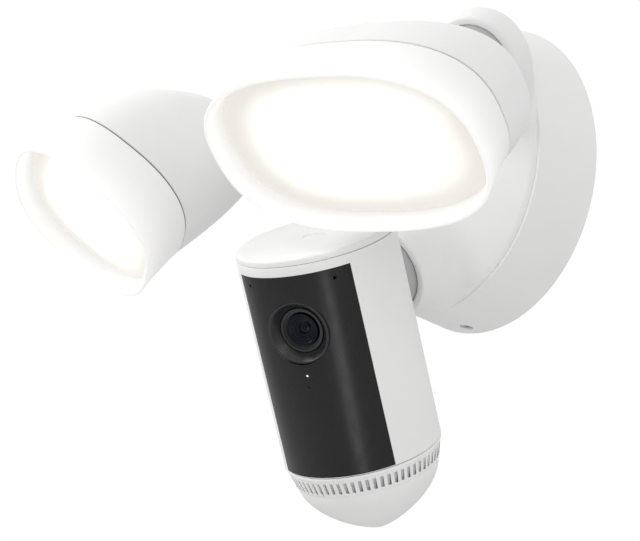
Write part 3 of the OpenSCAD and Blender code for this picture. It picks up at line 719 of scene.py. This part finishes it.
def lamp(side):
    suffix, word = ("_r", "right") if side == RIGHT else ("_l", "left")
    body, place = f"lamp_{word}", face_place(side)
    seat = LAMP_SEAM - SEAM_GAP
    back = LAMP_SEAM + SEAM_GAP

    lip = [section(1 - sin(t), 1 + cos(t)) for t in np.linspace(pi, 0, 13)]
    outer = [section(z, 0) for z in np.linspace(seat - 0.3, 1.6, 22)]
    wall = [section(z, SKIN) for z in np.linspace(1.6, LIP + 2.2, 8)]
    inside = [section(z, SKIN + 1.2) for z in (LIP + 2.3, seat - 6, seat)] + [section(seat, 0.3)]
    rings = outer + lip + wall + inside
    bezel = loft(f"lamp_bezel_{word}", rings, place, closed=True)
    # Painted glow on the bezel: strongest at its front lip and fading towards the back, in place of the
    # diffuser's light falling on it.
    painted_glow = [PAINTED_LIP_GLOW * exp(points[0][2] / PAINTED_GLOW_DEPTH) for points in rings for _i in range(SEGMENTS)]
    bezel.data.attributes.new("painted_glow", "FLOAT", "POINT").data.foreach_set("value", painted_glow)
    place_piece(smooth(bezel), body, "shell_white", "bezel" + suffix, material=PAINTED_GLOW_WHITE)

    depth = LAMP_LEN - LAMP_SEAM
    stations = [back + 0.3 + (LAMP_LEN - back - 0.3) * sin(pi / 2 * u) for u in np.linspace(0, 1, 40)]
    outer = [section(back, 0.3)] + [rear_section(z) for z in stations]
    edge_of_hole = ((10.1, 0.25), (9.6, 0.3), (9.0, 0.1), (8.9, -0.4), (8.9, -3))
    hole = [round_section(r, LAMP_LEN + past) for r, past in edge_of_hole]
    inner = [section(back + t * depth, WALL) for t in (0.86, 0.74, 0.58, 0.4, 0.2, 0)]
    shell = loft(f"lamp_shell_{word}", outer + hole + inner, place, closed=True)
    place_piece(smooth(shell), body, "shell_white", "shell" + suffix)

    front_z, rear_z = seat + 0.02, back - 0.02
    gap = [section(z, inset) for z, inset in ((front_z, 0.55), (front_z, 2.2), (rear_z, 2.2), (rear_z, 0.55))]
    seam = loft(f"lamp_seam_{word}", gap, place, closed=True)
    place_piece(smooth(seam), body, "gasket", "seam" + suffix)

    scales = [1 - 0.985 * u**1.15 for u in np.linspace(0, 1, 26)]
    edge_steps = ((2.1, 0.15), (0.8, 0.15), (0.35, 0.35), (0.1, 0.9))
    edge = [section(LIP + behind, SKIN + inset) for behind, inset in edge_steps]
    front = [section(LIP - 1.3 * (1 - s * s), SKIN + 1.6, s) for s in scales]
    diffuser = loft(f"lamp_diffuser_{word}", edge + front, place)
    reach = [1.0] * (len(edge) * SEGMENTS) + [s for s in scales for _i in range(SEGMENTS)]
    layer = diffuser.data.attributes.new("reach", "FLOAT", "POINT")
    layer.data.foreach_set("value", reach)
    place_piece(smooth(diffuser), body, "diffuser", "diffuser" + suffix)

    stem = lamp_place(side) @ turn("X", -STEM_TILT)
    ball(f"lamp_ball_{word}", stem, f"ball_{word}", "shell_white", f"ball{suffix}_lamp")
    neck(f"lamp_neck_{word}", stem, body, SLEEVE_FRONT - 3, "neck" + suffix)
    cup_place = aim(mirrored(LAMP_BALL, side), mirrored(LAMP_MOUTH, side))
    cup(f"lamp_cup_{word}", cup_place, f"cup_{word}", "cup" + suffix)


# ---- camera head


def wedge(name, half, z0, z1):
    """A wedge about the head's axis, facing the front."""
    reach = 2 * CAM_R
    outline = [(0, 0), (-reach * tan(radians(half)), -reach), (reach * tan(radians(half)), -reach)]
    return prism(name, outline, z0, z1, HEAD_PLACE)


def stadium(grow, segments=24):
    """Outline of the setup button."""
    reach, r = 2.2, 2.3 + grow
    right = [(reach + r * cos(t), r * sin(t)) for t in np.linspace(-pi / 2, pi / 2, segments)]
    return right + [(-x, -y) for x, y in right]


def tube_outline(r_in, r_out, z0, z1):
    return [(r_in, z0), (r_out, z0), (r_out, z1), (r_in, z1)]


def head_shell():
    tube = lathe("head_shell", tube_outline(CAM_R - WALL, CAM_R, HEAD_BOTTOM, CAP_BOTTOM), HEAD_PLACE, 256)
    stem_hole = CAM_PLACE @ turn("X", 90)
    cut(
        tube,
        wedge("window_opening", WINDOW_HALF, WINDOW_BOTTOM, WINDOW_TOP),
        rod("stem_hole", SLEEVE_R + 0.2, 16, 30, stem_hole),
        bevel=0.2,
    )
    return place_piece(smooth(tube), "camera", "shell_white", "cam_shell")


def head_cap():
    low = CAP_BOTTOM + 0.18
    top = [(0, low), (CAM_R - 0.5, low), (CAM_R - 0.5, CAP_TOP - 1.3)]
    top += arc(CAM_R - 1.8, CAP_TOP - 1.3, 1.3, 0, 90, 8)[1:] + [(0, CAP_TOP)]
    cap = lathe("head_cap", soften(top, 0.2), HEAD_PLACE, 256)
    hole = prism("button_hole", stadium(0.15), CAP_BOTTOM - 1, CAP_TOP + 5, HEAD_PLACE)
    cut(cap, hole, bevel=0.15)
    place_piece(smooth(cap), "camera", "shell_white", "cam_cap")
    collar = lathe(
        "cap_collar", tube_outline(CAM_R - WALL - 2, CAM_R - WALL - 0.05, CAP_BOTTOM - 5, low), HEAD_PLACE
    )
    place_piece(smooth(collar), "camera", "shell_white")
    rings = [
        np.array([(x, y, z) for x, y in stadium(grow)])
        for grow, z in (
            (1.4, CAP_BOTTOM - 1.6),
            (1.4, CAP_BOTTOM - 0.6),
            (0, CAP_BOTTOM - 0.6),
            (0, CAP_TOP - 0.45),
            (-0.08, CAP_TOP - 0.25),
            (-0.3, CAP_TOP - 0.12),
            (-0.9, CAP_TOP - 0.08),
        )
    ]
    button = loft("setup_button_top", rings, HEAD_PLACE)
    place_piece(smooth(button), "button", "shell_white", "setup_button")


def head_window():
    """The dark panel, with openings for the lens, the two lights and the microphones."""
    outline = tube_outline(CAM_R - WALL + 0.2, CAM_R - 0.05, WINDOW_BOTTOM + 0.1, WINDOW_TOP - 0.1)
    half = radians(WINDOW_HALF - 0.15)
    rings = [
        np.array([(r * sin(a), -r * cos(a), z) for r, z in soften(outline, 0.15)])
        for a in np.linspace(-half, half, 97)
    ]
    panel = loft("window_panel", rings, HEAD_PLACE)
    holes = [rod("lens_hole", LENS_RING_R, 8, 60, LENS_PLACE, 128)]
    for z in (LED_Z, SENSOR_Z):
        at = HEAD_PLACE @ Matrix.Translation((0, 0, z)) @ turn("X", 90)
        holes.append(rod("light_hole", 0.56, 8, 60, at, 32))
    for side in (LEFT, RIGHT):
        mic = HEAD_PLACE @ turn("Z", side * MIC_ANGLE) @ Matrix.Translation((0, 0, MIC_Z)) @ turn("X", 90)
        holes.append(rod("mic_hole", 0.7, 8, 60, mic, 24))
    cut(panel, *holes)
    return place_piece(smooth(panel), "camera", "window_black", "cam_window")


def lens():
    front = CAM_R - 0.9
    bezel = [
        (LENS_INNER_R + 0.1, front - 8),
        (LENS_INNER_R + 2.4, front - 8),
        (LENS_RING_R - 0.05, front - 3),
        (LENS_RING_R - 0.05, front),
        (LENS_RING_R - 0.9, front),
        (LENS_INNER_R + 0.1, front - 4.2),
    ]
    piece = lathe("lens_bezel_ring", soften(bezel, 0.3, 4), LENS_PLACE)
    place_piece(smooth(piece), "camera", "trim_black", "lens_bezel")
    rim = front - 3.5
    steps = 5
    cone = []
    for i in range(steps):
        r = LENS_INNER_R - 1 - (LENS_INNER_R - 1 - LENS_GLASS_R - 0.05) * i / steps
        z = rim - 2.0 * i / steps
        cone += [(r, z), (r, z - 2.0 / steps)]
    barrel = [(0, rim - 26), (10.5, rim - 26), (10.5, rim - 8.5)]
    barrel += [(LENS_INNER_R, rim - 8.5), (LENS_INNER_R, rim)]
    barrel += cone + [(LENS_GLASS_R + 0.05, rim - 5), (0, rim - 5)]
    piece = lathe("lens_barrel_steps", soften(barrel, 0.12, 2), LENS_PLACE)
    place_piece(smooth(piece), "camera", "trim_black", "lens_barrel")
    glass_front = CAM_R - 4.6
    outline = [(0, glass_front - 4.6), (LENS_GLASS_R, glass_front - 4.6)]
    for r, fall in ((LENS_GLASS_R, 0.3), (5.5, 0.8), (4.4, 1.3), (3.4, 1.8)):
        outline += [(r, glass_front - fall), (r - 0.9, glass_front - fall - 0.25)]
    bulge, pupil = 4.2, 2.4
    crown = glass_front - 1.5
    edge_angle = degrees(atan2(sqrt(bulge**2 - pupil**2), pupil))
    dome = arc(0, crown - bulge, bulge, edge_angle, 90, 16)
    dome[-1] = (0, crown)
    piece = lathe("lens_dome", soften(outline, 0.12, 2) + dome, LENS_PLACE)
    place_piece(smooth(piece), "camera", "lens_glass", "lens_glass")


def lights():
    for word, z in (("status", LED_Z), ("sensor", SENSOR_Z)):
        place = HEAD_PLACE @ Matrix.Translation((0, 0, z)) @ turn("X", 90)
        tip = CAM_R - 0.2
        outline = [(0, 26), (0.5, 26), (0.5, tip - 0.3), (0.38, tip - 0.1), (0.2, tip), (0, tip + 0.02)]
        piece = lathe(f"{word}_light", outline, place, 32)
        if word == "status":
            place_piece(smooth(piece), "camera", "indicator", "status_lights")
        else:
            place_piece(smooth(piece), "camera", "component_dark")


def head_base():
    seam = tube_outline(CAM_R - 3.4, CAM_R - 0.7, VENT_TOP + 0.02, HEAD_BOTTOM - 0.02)
    piece = lathe("head_seam", seam, HEAD_PLACE, 256)
    place_piece(smooth(piece), "camera", "gasket", "cam_seam")

    outline = [
        (CAM_R - 3.6, VENT_BOTTOM),
        (CAM_R - 2.6, VENT_BOTTOM),
        (CAM_R - 0.6, VENT_TOP - 1.6),
        (CAM_R - 0.1, VENT_TOP - 1),
        (CAM_R - 0.1, VENT_TOP),
        (CAM_R - 3.6, VENT_TOP),
    ]
    vents = lathe("vent_band", soften(outline, 0.25), HEAD_PLACE, 264)
    low, high = VENT_BOTTOM + 1.4, VENT_BOTTOM + 1.4 + VENT_H - 4
    slots = []
    for i in range(SLOTS):
        at = HEAD_PLACE @ turn("Z", 360 * (i + 0.5) / SLOTS)
        slots.append(box("slot", (-0.65, -CAM_R - 1, low), (0.65, -CAM_R + 7, high), at))
    cut(vents, joined("slots", slots), bevel=0.1)
    place_piece(smooth(vents), "camera", "shell_white", "vent_ring")
    backing = [
        (CAM_R - 4.2, VENT_BOTTOM + 0.8),
        (CAM_R - 3.45, VENT_BOTTOM + 0.8),
        (CAM_R - 2.1, VENT_TOP - 1.2),
        (CAM_R - 4.2, VENT_TOP - 1.2),
    ]
    piece = lathe("vent_mesh", backing, HEAD_PLACE)
    place_piece(smooth(piece), "camera", "shell_white", material=VENT_SHADE)

    r0 = CAM_R - 3.1
    outside = [(r0 * cos(t) ** 1.7, -DOME_H * sin(t) ** 1.12) for t in np.linspace(0, pi / 2 * 0.985, 46)]
    inside = [
        ((r0 - 1.8) * cos(t) ** 1.7, -(DOME_H - 1.8) * sin(t) ** 1.12)
        for t in np.linspace(pi / 2 * 0.985, 0, 24)
    ]
    profile = outside + [(0, -DOME_H)] + [(0, -DOME_H + 1.8)] + inside
    place = HEAD_PLACE @ Matrix.Translation((0, 0, VENT_BOTTOM - 0.1))
    piece = lathe("motion_lens", profile, place, 256)
    place_piece(smooth(piece), "camera", "dome_white", "motion_dome")


def joined(name, parts):
    """One object from several."""
    verts, faces = [], []
    for part in parts:
        start = len(verts)
        verts += [tuple(v.co) for v in part.data.vertices]
        faces += [tuple(start + i for i in p.vertices) for p in part.data.polygons]
        bpy.data.objects.remove(part)
    mesh = bpy.data.meshes.new(name)
    mesh.from_pydata(verts, [], faces)
    obj = bpy.data.objects.new(name, mesh)
    scene.collection.objects.link(obj)
    return obj


# ---- stage


def stage():
    floor = bpy.data.meshes.new("floor")
    size, height = 60.0, -1.0
    corners = [(x * size, y * size, height) for x, y in ((-1, -1), (1, -1), (1, 1), (-1, 1))]
    floor.from_pydata(corners, [], [(0, 1, 2, 3)])
    obj = bpy.data.objects.new("floor", floor)
    scene.collection.objects.link(obj)
    pale = moulded("floor_pale", (0.64, 0.64, 0.64), (0.61, 0.61, 0.61), (0.7, 0.85), 40, 0.02)
    obj.data.materials.append(pale)

    world = bpy.data.worlds.new("studio")
    scene.world = world
    world.use_nodes = True
    tree = world.node_tree
    sky = tree.nodes["Background"]
    direction = tree.nodes.new("ShaderNodeSeparateXYZ")
    tree.links.new(tree.nodes.new("ShaderNodeTexCoord").outputs["Generated"], direction.inputs["Vector"])
    height = tree.nodes.new("ShaderNodeMapRange")
    height.interpolation_type = "SMOOTHSTEP"
    height.inputs["From Min"].default_value = -0.9
    height.inputs["From Max"].default_value = 0.5
    height.inputs["To Min"].default_value = 0.24
    height.inputs["To Max"].default_value = 0.9
    tree.links.new(direction.outputs["Z"], height.inputs["Value"])
    tree.links.new(height.outputs["Result"], sky.inputs["Strength"])
    sky.inputs["Color"].default_value = (1, 1, 1, 1)
    backdrop = tree.nodes.new("ShaderNodeBackground")
    backdrop.inputs["Color"].default_value = (1, 1, 1, 1)
    backdrop.inputs["Strength"].default_value = 1.02
    seen = tree.nodes.new("ShaderNodeLightPath")
    choice = tree.nodes.new("ShaderNodeMixShader")
    tree.links.new(seen.outputs["Is Camera Ray"], choice.inputs["Fac"])
    tree.links.new(sky.outputs["Background"], choice.inputs[1])
    tree.links.new(backdrop.outputs["Background"], choice.inputs[2])
    tree.links.new(choice.outputs["Shader"], tree.nodes["World Output"].inputs["Surface"])

    def panel(name, at, look, width, height, power):
        light = bpy.data.lights.new(name, "AREA")
        light.shape = "RECTANGLE"
        light.size, light.size_y, light.energy = width, height, power
        lamp_obj = bpy.data.objects.new(name, light)
        lamp_obj.location = at
        lamp_obj.rotation_euler = (Vector(look) - Vector(at)).to_track_quat("-Z", "Y").to_euler()
        scene.collection.objects.link(lamp_obj)

    centre = (0, -0.07, -0.02)
    panel("key", (-0.85, -1.2, 0.7), centre, 1.0, 1.0, 12)
    panel("fill", (1.4, -0.5, 0.2), centre, 0.5, 1.4, 1.7)
    panel("strip", (0.68, -0.47, -0.8), centre, 0.2, 0.8, 1.1)


def viewer():
    """The viewpoint: low, and to the right of the product."""
    azimuth, elevation, roll = radians(52.246), radians(-10.368), radians(2.883)
    back = Vector((sin(azimuth) * cos(elevation), -cos(azimuth) * cos(elevation), sin(elevation)))
    across = Vector((cos(azimuth), sin(azimuth), 0))
    up = back.cross(across)
    right = cos(roll) * across + sin(roll) * up
    top = cos(roll) * up - sin(roll) * across
    camera = bpy.data.cameras.new("viewer")
    camera.sensor_width = 36
    camera.lens = 118.24
    camera.clip_start = 0.05
    obj = bpy.data.objects.new("viewer", camera)
    turned = Matrix((right, top, back)).transposed().to_4x4()
    obj.matrix_world = Matrix.Translation(Vector((692.52, -629.70, -215.75)) * MM) @ turned
    scene.collection.objects.link(obj)
    scene.camera = obj


viewer()
stage()
base_cover()
base_rim()
for side in (LEFT, RIGHT):
    lamp(side)
stem = CAM_PLACE @ turn("X", 90)
cup("head_cup", aim(CAM_BALL, CAM_MOUTH), "cup_camera", "cup_cam")
ball("head_ball", stem, "ball_camera", "shell_white", "ball_cam")
neck("head_neck", stem, "camera", 27.2, "cam_neck")
head_shell()
head_cap()
head_window()
lens()
lights()
head_base()
